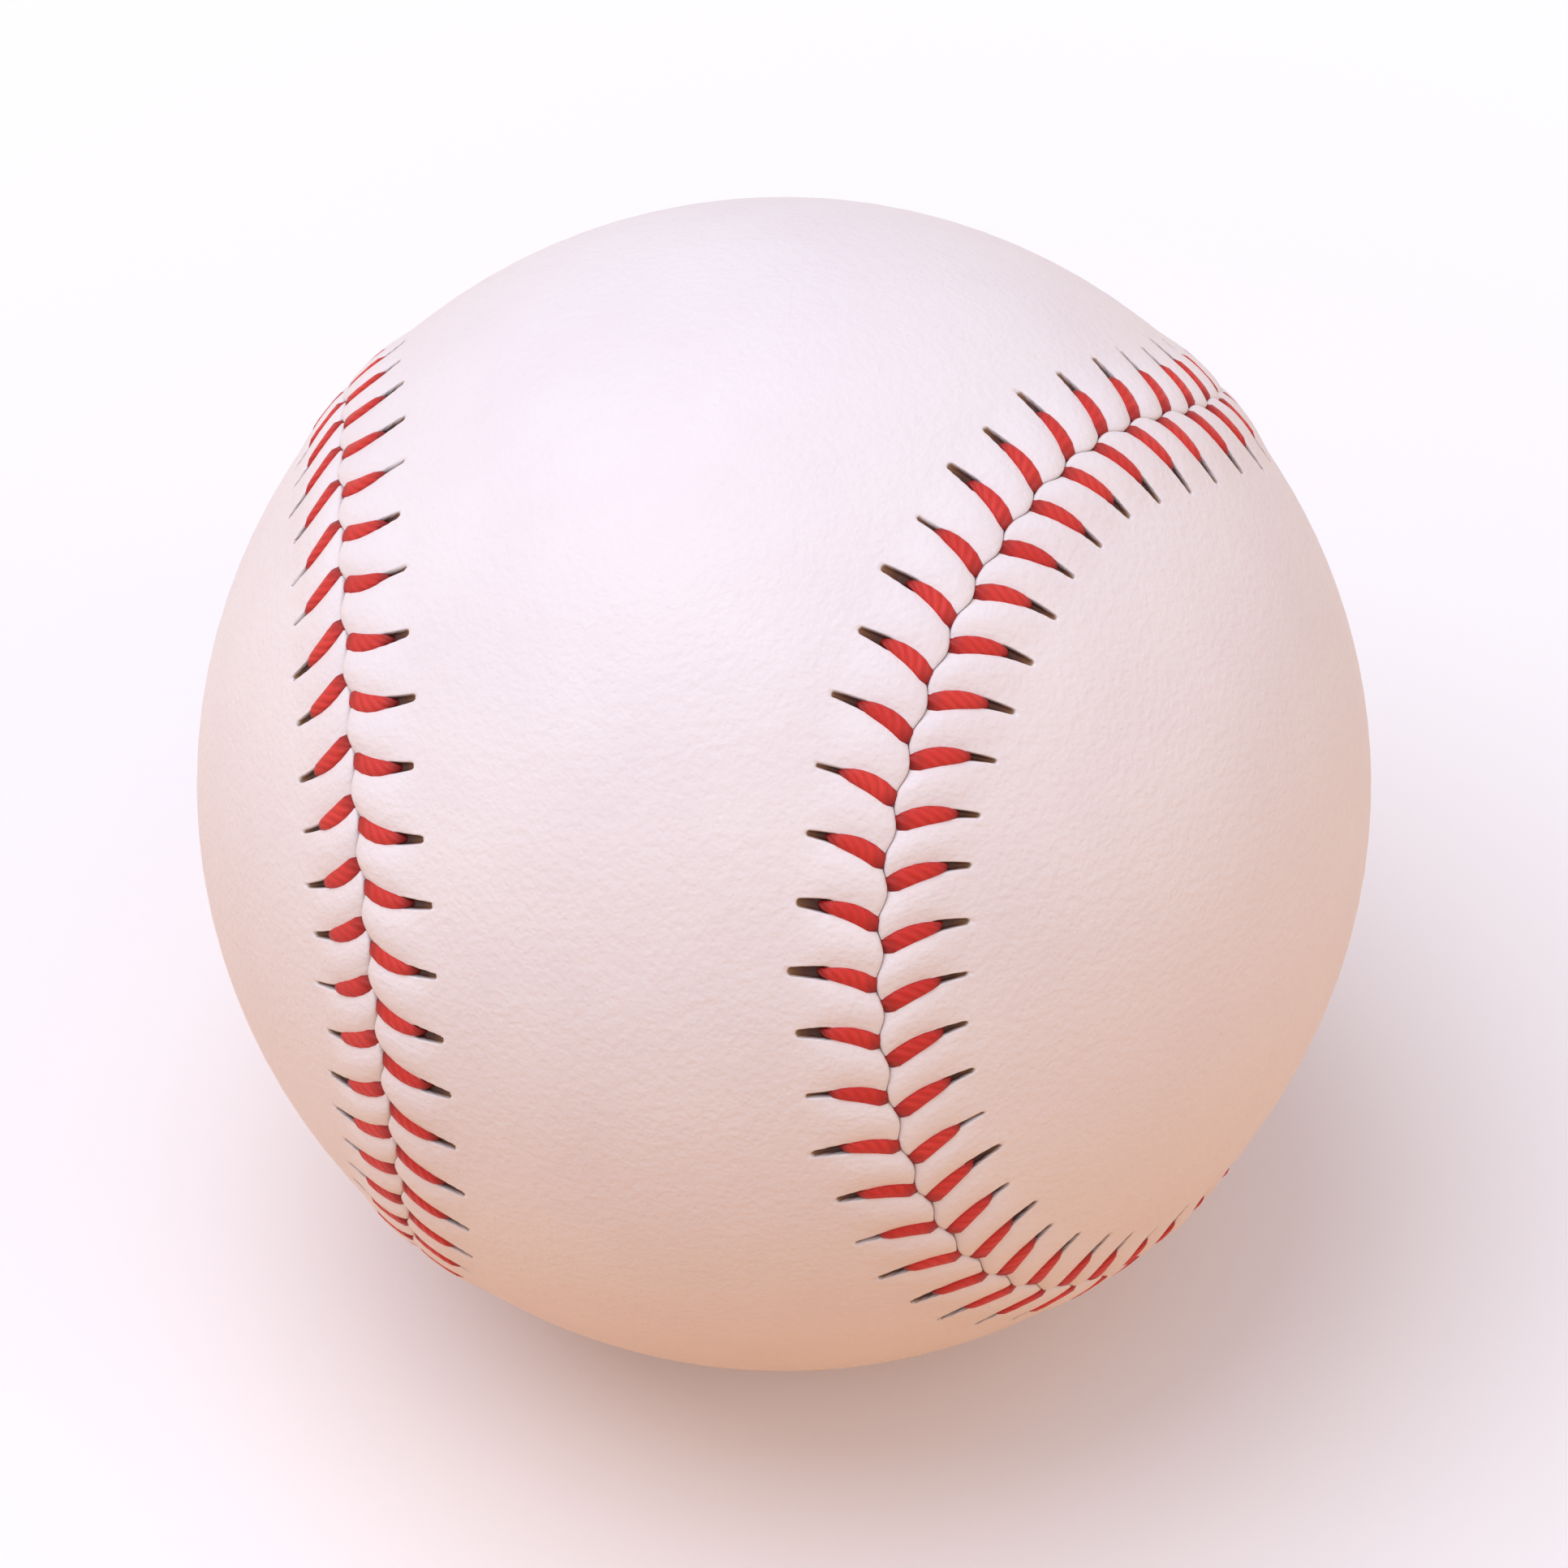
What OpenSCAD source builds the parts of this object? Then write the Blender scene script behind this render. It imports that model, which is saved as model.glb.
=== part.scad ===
// A hand-sewn baseball: a moulded rubber and cork core, four yarn windings, a coat of cement,
// and two figure-eight leather panels that interlock and are laced together by one red thread
// with a needle at each end. The origin is the ball's centre and +Z is up as the ball lies.

/* [Ball] */
// Diameter over the plain leather, away from the raised seam
ball_d = 73.5; // [72:0.25:75]
// Thickness of the leather cover
cover_t = 1.3; // [1.1:0.05:1.5]
// How the ball lies: its turns about X, Y and Z, in degrees
lie = [-108, -10, -14]; // [-180:1:180]

/* [Seam] */
// Tilt of each rounded lobe's centre away from the ball's waist, in degrees
lobe_tilt = 17; // [14:1:20]
// Height of the sewn edges above the plain leather
ridge_h = 0.5; // [0.3:0.05:0.7]
// Half width of the level top of the sewn edges
crest_reach = 0.9; // [0.6:0.1:1.5]
// Height of the room for the thread under the sewn edges
tunnel_h = 0.7; // [0.65:0.05:0.8]
// Distance from the seam to the middle of each needle hole
hole_reach = 4.1; // [3.7:0.1:4.5]
// Diameter of the needle holes
hole_d = 1.3; // [1.2:0.05:1.4]

/* [Stitches] */
// Number of stitches along each quarter of the seam
quarter_stitches = 27; // [24:1:28]
// Width of the flattened thread
thread_w = 1; // [0.8:0.05:1.05]
// Thickness of the flattened thread
thread_t = 0.45; // [0.35:0.05:0.5]
// How far each stitch's needle hole lies behind the point where it dives into the seam
stitch_lean = 1.4; // [1:0.1:1.5]
// How far the first panel's stitches lie ahead of the second panel's
stitch_stagger = 1.25; // [1.15:0.05:1.35]

/* [Core] */
// Diameter of the cork and rubber ball in the middle
cork_d = 20.6; // [20:0.1:21]
// Thickness of the two black rubber half shells
inner_shell_t = 4; // [3.5:0.1:4.5]
// Thickness of the rubber ring that parts the black half shells
gasket_t = 0.8; // [0.6:0.1:1.2]
// Thickness of the two red rubber half shells
outer_shell_t = 3.1; // [2.8:0.1:3.4]

/* [Windings] */
// Thickness of the three-ply white wool winding
white_wool_t = 1.75; // [1.5:0.05:2]
// Thickness of the three-ply grey wool winding
grey_wool_t = 1.9; // [1.6:0.05:2.2]
// Thickness of the fine cotton winding that evens the surface
cotton_t = 0.4; // [0.3:0.05:0.6]
// Thickness of the cement that holds the leather
cement_t = 0.1; // [0.08:0.01:0.2]

/* [Hidden] */
$fn = 96;

// Radii of the layers, the rubber core from the inside out and the rest from the leather inwards
ball_r = ball_d / 2;
cement_r = ball_r - cover_t;
cotton_r = cement_r - cement_t;
grey_wool_r = cotton_r - cotton_t;
white_wool_r = grey_wool_r - grey_wool_t;
four_ply_r = white_wool_r - white_wool_t;
cork_r = cork_d / 2;
inner_shell_r = cork_r + inner_shell_t;
outer_shell_r = inner_shell_r + outer_shell_t;

// The seam is four equal arcs, each round the axis of one lobe: the first panel's own lobes and
// the second panel's, by turns. Neighbouring arcs are tangent where they meet, on the ball's
// waist and midway between the lobes, which fixes their radius.
OWN_LOBES = [0, 2];
OTHER_LOBES = [1, 3];
ARCS = len(OWN_LOBES) + len(OTHER_LOBES);
quarter_turn = 360 / ARCS;
lobe_radius = acos(cos(lobe_tilt) * cos(quarter_turn / 2));
arc_turn = 360 - acos(-pow(cos(lobe_radius) / sin(lobe_radius), 2));
stitch_turn = arc_turn / quarter_stitches;
STITCHES = ARCS * quarter_stitches;
stitch_pitch = ball_r * sin(lobe_radius) * stitch_turn * PI / 180;
lean_share = stitch_lean / stitch_pitch;
stagger_share = stitch_stagger / stitch_pitch;

// Cuts run past the surfaces that they pass through by this much
overrun = 2;
cut_r = ball_r + ridge_h + overrun;
// The raised edge slopes down to the plain leather just short of the holes
hole_margin = 0.05;
ridge_reach = hole_reach - hole_d / 2 - hole_margin;
// Gap all round the thread where it passes the edges of the leather
thread_gap = 0.06;
// Width of the thread where it is drawn tight under the leather
tight_w_share = 0.8;
// Where the thread comes up in its hole, in shares of the hole's radius towards the seam
rise_share = 0.45;

// The second panel's stitches start this far along each quarter, so that a stitch of the first
// panel dives where two arcs meet
first_share = 1 - stagger_share;
// How much of its lean a stitch has already taken where it leaves the level top of the edge
bow_share = 0.6;
// The raised edge is rooted in the plain leather by this share of its height
root_share = 0.25;

THREAD_SIDES = 6;
HOLE_FACETS = 24;
THREAD_RED = [0.86, 0.2, 0.18];
LEATHER_WHITE = [0.95, 0.92, 0.9];

// Is this quarter's lobe the first panel's? The lobes alternate round the ball.
function first_panels(quarter) = quarter % 2 == 0;

// Angle at the ball's centre of a length measured over its surface
function surface_angle(length) = length / ball_r * 180 / PI;

// Turns about X, Y and Z that carry +Z to the middle of a quarter's lobe
function lobe_turn(quarter) =
    [0, 90 + (first_panels(quarter) ? lobe_tilt : -lobe_tilt), -quarter * quarter_turn];

// Where a quarter's arc starts and which way it runs, as turns round the lobe's axis
function arc_start(quarter) = first_panels(quarter) ? arc_turn / 2 : 180 - arc_turn / 2;
function arc_sense(quarter) = first_panels(quarter) ? -1 : 1;

// Angle from a lobe's axis of a place beside its arc
function lobe_angle(quarter, across) = lobe_radius + arc_sense(quarter) * surface_angle(across);

// A place on the ball is a station along the seam, counted in stitches the way the sewer goes,
// and a distance across it, positive towards the first panel. It gives the quarter, the turn
// round the lobe's axis and the angle from that axis.
function place(station, across) =
    let (lap = (2 * STITCHES - station) % STITCHES)
    let (quarter = floor(lap / quarter_stitches))
    let (round_lobe = arc_start(quarter)
        + arc_sense(quarter) * (lap - quarter * quarter_stitches) * stitch_turn)
    [quarter, round_lobe, lobe_angle(quarter, across)];

function turned_y(point, turn) = [
    point.x * cos(turn) + point.z * sin(turn), point.y, point.z * cos(turn) - point.x * sin(turn)
];
function turned_z(point, turn) = [
    point.x * cos(turn) - point.y * sin(turn), point.x * sin(turn) + point.y * cos(turn), point.z
];

// Point at a place on the ball and a radius
function ball_point(station, across, radius) =
    let (at = place(station, across))
    let (upright = turned_z(turned_y([0, 0, radius], at[2]), at[1]))
    turned_z(turned_y(upright, lobe_turn(at[0]).y), lobe_turn(at[0]).z);

// Radius of the leather's surface at a distance from the seam
function leather_r(across) =
    ball_r + ridge_h * max(0, min(1, (ridge_reach - across) / (ridge_reach - crest_reach)));

// Puts its children, drawn up the Z axis, at a place on the ball
module at_place(station, across) {
    at = place(station, across);
    rotate(lobe_turn(at[0]))
    rotate([0, 0, at[1]])
    rotate([0, at[2], 0])
    children();
}

// Shell between two radii
module layer(outer_r, inner_r) {
    difference() {
        sphere(r = outer_r);
        sphere(r = inner_r);
    }
}

// Upper or lower half of what it is given, less the room for a ring between the halves
module half(side, outer_r, gap) {
    intersection() {
        children();
        translate([-outer_r - overrun, -outer_r - overrun, side > 0 ? gap / 2 : -outer_r - overrun])
        cube([2 * (outer_r + overrun), 2 * (outer_r + overrun), outer_r + overrun - gap / 2]);
    }
}

// Cones from the ball's centre through the arcs of the given lobes, moved across the seam
module lobe_cones(quarters, across) {
    for (quarter = quarters)
        rotate(lobe_turn(quarter))
        cylinder(h = cut_r, r1 = 0, r2 = cut_r * tan(lobe_angle(quarter, across)));
}

// Space of the first panel, drawn in from its edge by a distance across the seam: its own
// lobes below the waist, and above it what the other panel's lobes leave
module panel_space(across) {
    half(-1, cut_r, 0) lobe_cones(OWN_LOBES, across);
    difference() {
        half(1, cut_r, 0) sphere(r = cut_r);
        lobe_cones(OTHER_LOBES, across);
    }
}

// Point of a profile drawn beside a lobe's axis
function profile_point(quarter, across, radius) =
    let (angle = lobe_angle(quarter, across))
    [radius * sin(angle), radius * cos(angle)];

// Rounds that end on the slope of the raised edge, one on each of the given lobes. The slope
// runs on as far again below the plain leather.
module slope_rounds(quarters) {
    for (quarter = quarters) {
        top = profile_point(quarter, crest_reach, ball_r + ridge_h);
        foot = profile_point(quarter, ridge_reach, ball_r);
        low = 2 * foot - top;
        rotate(lobe_turn(quarter))
        rotate_extrude()
        polygon([[0, low.y], low, top, [top.x, cut_r], [0, cut_r]]);
    }
}

// Raised edge: a thicker band beside the seam that slopes down to the plain leather
module raised_edge() {
    intersection() {
        layer(ball_r + ridge_h, ball_r - ridge_h * root_share);
        union() {
            difference() {
                half(-1, cut_r, 0) lobe_cones(OWN_LOBES, 0);
                slope_rounds(OWN_LOBES);
            }
            difference() {
                half(1, cut_r, 0) slope_rounds(OTHER_LOBES);
                lobe_cones(OTHER_LOBES, 0);
            }
        }
    }
}

// Room for the thread under the edge, as wide as the row of holes
module thread_room() {
    difference() {
        sphere(r = cement_r + tunnel_h);
        panel_space(hole_reach + hole_d / 2);
    }
}

// Needle holes along the edge, with the stitches moved ahead by a share of the pitch
module needle_holes(ahead_share) {
    for (stitch = [0 : STITCHES - 1])
        at_place(stitch + first_share - lean_share + ahead_share, hole_reach)
        translate([0, 0, cement_r - overrun])
        cylinder(h = cover_t + ridge_h + 2 * overrun, d = hole_d, $fn = HOLE_FACETS);
}

// Notches where the threads pass between the butted edges
module seam_notches() {
    for (stitch = [0 : STITCHES - 1])
        for (ahead_share = [0, stagger_share])
            at_place(stitch + first_share + ahead_share, 0)
            translate([-thread_t / 2 - thread_gap, -thread_w / 2 - thread_gap, cement_r])
            cube([thread_t + 2 * thread_gap, thread_w + 2 * thread_gap, cut_r - cement_r]);
}

// One panel, in the first panel's place
module cover_panel(ahead_share) {
    difference() {
        union() {
            intersection() {
                layer(ball_r, cement_r);
                panel_space(0);
            }
            raised_edge();
        }
        thread_room();
        needle_holes(ahead_share);
        seam_notches();
    }
}

// Places that the thread passes for one stitch: it comes up through its hole, crosses the sewn
// edge, dives between the edges and runs on beneath the other panel
function stitch_course(stitch, side) =
    let (ahead = stitch + first_share + (side > 0 ? stagger_share : 0))
    let (hole = hole_reach - hole_d / 2 * rise_share)
    let (bed = cement_r + tunnel_h / 2)
    let (lift = thread_gap + thread_t / 2)
    [
        [ahead - lean_share, side * hole, bed, tight_w_share],
        [ahead - lean_share, side * hole, leather_r(hole) + lift, 1],
        [ahead - lean_share * bow_share, side * crest_reach, leather_r(0) + lift, 1],
        [ahead, 0, leather_r(0) + lift, 1],
        [ahead, 0, bed, tight_w_share]
    ];

// Ring of points round the thread at one place of its course. The flat of the thread lies
// along the seam, square to the thread's own run.
function thread_ring(course, index) =
    let (count = len(course))
    let (here = course[index])
    let (before = course[(index + count - 1) % count])
    let (after = course[(index + 1) % count])
    let (middle = ball_point(here[0], here[1], here[2]))
    let (run_in = middle - ball_point(before[0], before[1], before[2]))
    let (run_out = ball_point(after[0], after[1], after[2]) - middle)
    let (run = unit(unit(run_in) + unit(run_out)))
    let (seam_way = unit(ball_point(here[0] + lean_share, here[1], here[2])
        - ball_point(here[0] - lean_share, here[1], here[2])))
    let (flat = unit(seam_way - (seam_way * run) * run))
    let (thick = cross(run, flat))
    [for (corner = [0 : THREAD_SIDES - 1])
        let (turn = corner * 360 / THREAD_SIDES)
        middle + flat * (cos(turn) * here[3] * thread_w / 2)
            + thick * (sin(turn) / sin(360 / THREAD_SIDES) * thread_t / 2)];

function unit(vector) = vector / norm(vector);

// One needle's run of the thread, right round the seam and changing panel at every stitch
module thread_run(first) {
    course = [for (stitch = [0 : STITCHES - 1])
        each stitch_course(stitch, (stitch % 2 == 0) == first ? 1 : -1)];
    rings = len(course);
    points = [for (index = [0 : rings - 1]) each thread_ring(course, index)];
    faces = [for (index = [0 : rings - 1]) for (corner = [0 : THREAD_SIDES - 1])
        let (near = index * THREAD_SIDES)
        let (far = (index + 1) % rings * THREAD_SIDES)
        let (next = (corner + 1) % THREAD_SIDES)
        each [[near + corner, far + next, near + next], [near + corner, far + corner, far + next]]];
    color(THREAD_RED)
    rotate(lie)
    polyhedron(points = points, faces = faces);
}

module cork_core() {
    color("peru")
    sphere(r = cork_r);
}

module inner_shell(side) {
    color([0.12, 0.12, 0.13])
    half(side, inner_shell_r, gasket_t)
    layer(inner_shell_r, cork_r);
}

module shell_gasket() {
    color("firebrick")
    intersection() {
        layer(inner_shell_r, cork_r);
        translate([0, 0, -gasket_t / 2])
        cylinder(r = inner_shell_r + overrun, h = gasket_t);
    }
}

module outer_shell(side) {
    color([0.7, 0.16, 0.13])
    half(side, outer_shell_r, 0)
    layer(outer_shell_r, inner_shell_r);
}

module cover_panel_a() {
    color(LEATHER_WHITE)
    rotate(lie)
    cover_panel(stagger_share);
}

// The second panel is the first turned a quarter turn about the seam's axis and mirrored through
// the waist, which lays its lobes in the first one's hollows
module cover_panel_b() {
    color(LEATHER_WHITE)
    rotate(lie)
    rotate([0, 0, quarter_turn])
    mirror([0, 0, 1])
    cover_panel(0);
}

module inner_shell_upper() { inner_shell(1); }
module inner_shell_lower() { inner_shell(-1); }
module outer_shell_upper() { outer_shell(1); }
module outer_shell_lower() { outer_shell(-1); }
module four_ply_winding() { color("slategray") layer(four_ply_r, outer_shell_r); }
module white_wool_winding() { color("ivory") layer(white_wool_r, four_ply_r); }
module grey_wool_winding() { color("darkgray") layer(grey_wool_r, white_wool_r); }
module cotton_winding() { color("whitesmoke") layer(cotton_r, grey_wool_r); }
module cement_coat() { color("khaki") layer(cement_r, cotton_r); }
module thread_run_a() { thread_run(true); }
module thread_run_b() { thread_run(false); }

cork_core();
inner_shell_upper();
inner_shell_lower();
shell_gasket();
outer_shell_upper();
outer_shell_lower();
four_ply_winding();
white_wool_winding();
grey_wool_winding();
cotton_winding();
cement_coat();
cover_panel_a();
cover_panel_b();
thread_run_a();
thread_run_b();
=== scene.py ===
import math

import bmesh
import bpy
import numpy as np
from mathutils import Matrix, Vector


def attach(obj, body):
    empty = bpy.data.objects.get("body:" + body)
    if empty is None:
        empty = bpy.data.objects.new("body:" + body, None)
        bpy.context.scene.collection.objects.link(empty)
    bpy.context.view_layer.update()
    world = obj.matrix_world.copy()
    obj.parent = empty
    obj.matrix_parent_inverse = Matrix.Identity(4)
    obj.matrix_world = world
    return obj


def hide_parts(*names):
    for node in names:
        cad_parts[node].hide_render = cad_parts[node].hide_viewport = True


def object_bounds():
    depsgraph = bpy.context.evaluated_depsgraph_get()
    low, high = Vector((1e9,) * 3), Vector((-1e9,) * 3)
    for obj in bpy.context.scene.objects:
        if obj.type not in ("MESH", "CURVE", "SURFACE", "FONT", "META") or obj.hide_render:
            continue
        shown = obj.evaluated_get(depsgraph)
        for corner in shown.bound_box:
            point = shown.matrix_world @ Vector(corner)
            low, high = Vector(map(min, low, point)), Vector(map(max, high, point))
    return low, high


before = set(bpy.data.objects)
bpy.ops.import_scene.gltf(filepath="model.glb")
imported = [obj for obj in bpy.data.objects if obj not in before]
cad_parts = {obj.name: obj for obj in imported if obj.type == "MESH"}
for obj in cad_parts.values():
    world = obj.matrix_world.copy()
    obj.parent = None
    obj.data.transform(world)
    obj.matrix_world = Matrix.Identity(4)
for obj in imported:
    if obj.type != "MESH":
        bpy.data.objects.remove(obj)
cad_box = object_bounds()

# Cork core. The ball in the middle is ground cork and rubber pressed together in a hot mould.
# It shows as pale and dark brown granules with a few specks of black rubber between them.

granule = 0.0017


def add(tree, kind, values=None, links=None, **settings):
    """Adds a node: its own settings, its sockets' values, and the outputs linked to its sockets."""
    made = tree.nodes.new(kind)
    for name, value in settings.items():
        setattr(made, name, value)
    for socket, value in (values or {}).items():
        made.inputs[socket].default_value = value
    for socket, output in (links or {}).items():
        tree.links.new(output, made.inputs[socket])
    return made


def linear(hex_colour, alpha=1.0):
    """The linear colour of an sRGB hex value."""
    shares = [int(hex_colour[i:i + 2], 16) / 255 for i in (1, 3, 5)]
    return [s / 12.92 if s <= 0.04045 else ((s + 0.055) / 1.055) ** 2.4 for s in shares] + [alpha]


def finish_named(name, roughness, ior=1.5, **shader_values):
    """A new material with its Principled shader's even values set, and its tree and shader."""
    made = bpy.data.materials.new(name)
    made.use_nodes = True
    tree = made.node_tree
    shader = tree.nodes["Principled BSDF"]
    shader.inputs["Roughness"].default_value = roughness
    shader.inputs["IOR"].default_value = ior
    for socket, value in shader_values.items():
        shader.inputs[socket.replace("_", " ")].default_value = value
    return made, tree, shader


def colour_steps(ramp, steps):
    """Sets a colour ramp's stops from (position, hex colour) pairs."""
    stops = ramp.color_ramp.elements
    while len(stops) < len(steps):
        stops.new(1.0)
    for stop, (position, hex_colour) in zip(stops, steps):
        stop.position, stop.color = position, linear(hex_colour)


def dress(node_names, material):
    """Gives CAD nodes that show as they are their material, shaded smooth."""
    for name in node_names:
        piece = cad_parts[name]
        piece.data.materials.clear()
        piece.data.materials.append(material)
        piece.data.polygons.foreach_set("use_smooth", [True] * len(piece.data.polygons))


cork, tree, shader = finish_named("pressed cork and rubber", 0.85)
place = add(tree, "ShaderNodeTexCoord").outputs["Object"]
grains = add(tree, "ShaderNodeTexVoronoi", {"Scale": 1 / granule, "Randomness": 1.0}, {"Vector": place})
grain_shade = add(tree, "ShaderNodeSeparateColor", links={"Color": grains.outputs["Color"]})
browns = add(tree, "ShaderNodeValToRGB", links={"Fac": grain_shade.outputs["Red"]})
colour_steps(browns, [(0.0, "#2B211B"), (0.12, "#7A5233"), (0.55, "#A87B4E"), (1.0, "#C79D6B")])
joints = add(tree, "ShaderNodeTexVoronoi", {"Scale": 1 / granule}, {"Vector": place},
             feature="DISTANCE_TO_EDGE")
joint_depth = add(tree, "ShaderNodeMapRange", {"From Max": 0.12}, {"Value": joints.outputs["Distance"]})
bound = add(tree, "ShaderNodeMix", {6: linear("#4A3524")},
            {0: joint_depth.outputs["Result"], 7: browns.outputs["Color"]}, data_type="RGBA")
tree.links.new(bound.outputs[2], shader.inputs["Base Color"])
relief = add(tree, "ShaderNodeBump", {"Strength": 0.6, "Distance": 0.0002},
             {"Height": joint_depth.outputs["Result"]})
tree.links.new(relief.outputs["Normal"], shader.inputs["Normal"])
dress(["cork_core"], cork)

# Rubber shells. Two moulded black half shells close round the cork with a red rubber ring
# between them, and two red half shells close round those. Moulded rubber is dull, with a faint
# bloom and the fine tooth of a blasted mould.

tooth = 0.0003
bloom_clouds_in_metre = 180.0


def moulded_rubber(name, body, bloom):
    """Rubber of one body colour under the paler colour of its bloom."""
    made, tree, shader = finish_named(name, 0.62, 1.52)
    place = add(tree, "ShaderNodeTexCoord").outputs["Object"]
    cloud = add(tree, "ShaderNodeTexNoise", {"Scale": bloom_clouds_in_metre, "Detail": 5.0},
                {"Vector": place})
    dusted = add(tree, "ShaderNodeMix", {6: linear(body), 7: linear(bloom)},
                 {0: cloud.outputs["Fac"]}, data_type="RGBA")
    tree.links.new(dusted.outputs[2], shader.inputs["Base Color"])
    pits = add(tree, "ShaderNodeTexNoise", {"Scale": 1 / tooth, "Detail": 3.0}, {"Vector": place})
    relief = add(tree, "ShaderNodeBump", {"Strength": 0.35, "Distance": 0.00004},
                 {"Height": pits.outputs["Fac"]})
    tree.links.new(relief.outputs["Normal"], shader.inputs["Normal"])
    return made


black_rubber = moulded_rubber("moulded black rubber", "#101012", "#26262A")
red_rubber = moulded_rubber("moulded red rubber", "#7C1C17", "#9C3A30")
dress(["inner_shell_upper", "inner_shell_lower"], black_rubber)
dress(["shell_gasket", "outer_shell_upper", "outer_shell_lower"], red_rubber)

# Yarn windings. A machine winds four layers under tension: thick grey four-ply wool, white and
# grey three-ply wool, and a fine cotton finish. The strands run in crossing bands, each a great
# circle or near it, with painted shade in the gaps between them and a fuzz of loose fibres.

# How each band of strands is turned about x, y and z, in radians
wind_ways = [(0.0, 0.0, 0.0), (0.0, 0.0, 1.5), (0.0, 1.4, 0.3), (0.4, 0.7, 0.8), (1.1, -0.7, -0.8)]
# Straight bands of a wave texture of scale 1 repeat at this length
wave_repeat = 0.314
pole_start, pole_full = 0.68, 0.7
bands_in_metre, fibres_in_metre = 110.0, 2600.0


def wound_yarn(name, strand, light, gap_shade):
    """Yarn of one strand width in metres, with its colour and the colour of the painted shade in the gaps."""
    made, tree, shader = finish_named(name, 0.9, 1.5, Sheen_Weight=0.35)
    place = add(tree, "ShaderNodeTexCoord").outputs["Object"]
    height = None
    for way, turn in enumerate(wind_ways):
        turned = add(tree, "ShaderNodeMapping", {"Rotation": turn}, {"Vector": place}).outputs["Vector"]
        lay = add(tree, "ShaderNodeTexWave", {"Scale": wave_repeat / strand, "Distortion": 1.2,
                                              "Detail": 2.0, "Detail Scale": 0.6}, {"Vector": turned})
        # A band keeps clear of the poles that it would ring, and covers the first band's poles
        unit = add(tree, "ShaderNodeVectorMath", links={0: turned}, operation="NORMALIZE")
        parts = add(tree, "ShaderNodeSeparateXYZ", links={"Vector": unit.outputs["Vector"]})
        to_pole = add(tree, "ShaderNodeMath", links={0: parts.outputs["X"]}, operation="ABSOLUTE")
        pole = add(tree, "ShaderNodeMapRange", {"From Min": pole_start, "From Max": pole_full},
                   {"Value": to_pole.outputs["Value"]})
        if height is None:
            height, first_poles = lay.outputs["Fac"], pole
            continue
        along = add(tree, "ShaderNodeMapping", {"Scale": (1.0, 0.3, 0.3)}, {"Vector": turned})
        band = add(tree, "ShaderNodeTexNoise", {"Scale": bands_in_metre, "Detail": 0.0, "W": float(way)},
                   {"Vector": along.outputs["Vector"]}, noise_dimensions="4D")
        edge = add(tree, "ShaderNodeMapRange", {"From Min": 0.52, "From Max": 0.54},
                   {"Value": band.outputs["Fac"]})
        over = add(tree, "ShaderNodeMath",
                   links={0: edge.outputs["Result"], 1: first_poles.outputs["Result"]}, operation="MAXIMUM")
        clear = add(tree, "ShaderNodeMath", links={0: over.outputs["Value"], 1: pole.outputs["Result"]},
                    operation="SUBTRACT", use_clamp=True)
        height = add(tree, "ShaderNodeMix", links={0: clear.outputs["Value"], 2: height,
                                                   3: lay.outputs["Fac"]}).outputs[0]
    fibre = add(tree, "ShaderNodeTexNoise", {"Scale": fibres_in_metre, "Detail": 2.0}, {"Vector": place})
    fuzzed = add(tree, "ShaderNodeMath", {1: 0.12}, {0: fibre.outputs["Fac"], 2: height},
                 operation="MULTIPLY_ADD")
    # Painted shade: the low places between strands take the gap's dark colour
    shade = add(tree, "ShaderNodeValToRGB", links={"Fac": fuzzed.outputs["Value"]})
    colour_steps(shade, [(0.05, gap_shade), (0.5, light)])
    tree.links.new(shade.outputs["Color"], shader.inputs["Base Color"])
    relief = add(tree, "ShaderNodeBump", {"Strength": 0.8, "Distance": strand * 0.25},
                 {"Height": fuzzed.outputs["Value"]})
    tree.links.new(relief.outputs["Normal"], shader.inputs["Normal"])
    return made


# Each winding's yarn, the width of its strand in metres, the colour of the yarn and the colour of
# the painted shade in its gaps
for winding, yarn, strand, light, gap_shade, slot in (
        ("four_ply_winding", "four-ply grey wool yarn", 0.0018, "#85868A", "#3A3B3E", "grey_wool"),
        ("white_wool_winding", "three-ply white wool yarn", 0.0014, "#E4DED0", "#8B8474", "white_wool"),
        ("grey_wool_winding", "three-ply grey wool yarn", 0.0014, "#8E8F92", "#424346", "grey_wool"),
        ("cotton_winding", "fine cotton finishing yarn", 0.0006, "#EDE9DE", "#A59F8F", "cotton")):
    dress([winding], wound_yarn(yarn, strand, light, gap_shade))

# Cement coat. The wound body is rolled in rubber cement, which dries to a thin tacky amber film
# with brush marks and bubbles and glues the leather down.

pools_in_metre = 140.0
cement, tree, shader = finish_named("dried rubber cement", 0.38, 1.52)
place = add(tree, "ShaderNodeTexCoord").outputs["Object"]
pools = add(tree, "ShaderNodeTexNoise", {"Scale": pools_in_metre, "Detail": 6.0, "Distortion": 0.6},
            {"Vector": place})
amber = add(tree, "ShaderNodeValToRGB", links={"Fac": pools.outputs["Fac"]})
colour_steps(amber, [(0.3, "#B89A5E"), (0.7, "#D9C79A")])
tree.links.new(amber.outputs["Color"], shader.inputs["Base Color"])
relief = add(tree, "ShaderNodeBump", {"Strength": 0.4, "Distance": 0.00008},
             {"Height": pools.outputs["Fac"]})
tree.links.new(relief.outputs["Normal"], shader.inputs["Normal"])
dress(["cement_coat"], cement)

# Leather cover. Two figure-eight panels of alum-tanned white leather are stretched over the body
# damp and drawn edge to edge by the thread. The leather puffs up into a pillow between stitches,
# is pressed down under each one, rolls over into the seam and is pulled open into a slit past
# each needle hole.

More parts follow.
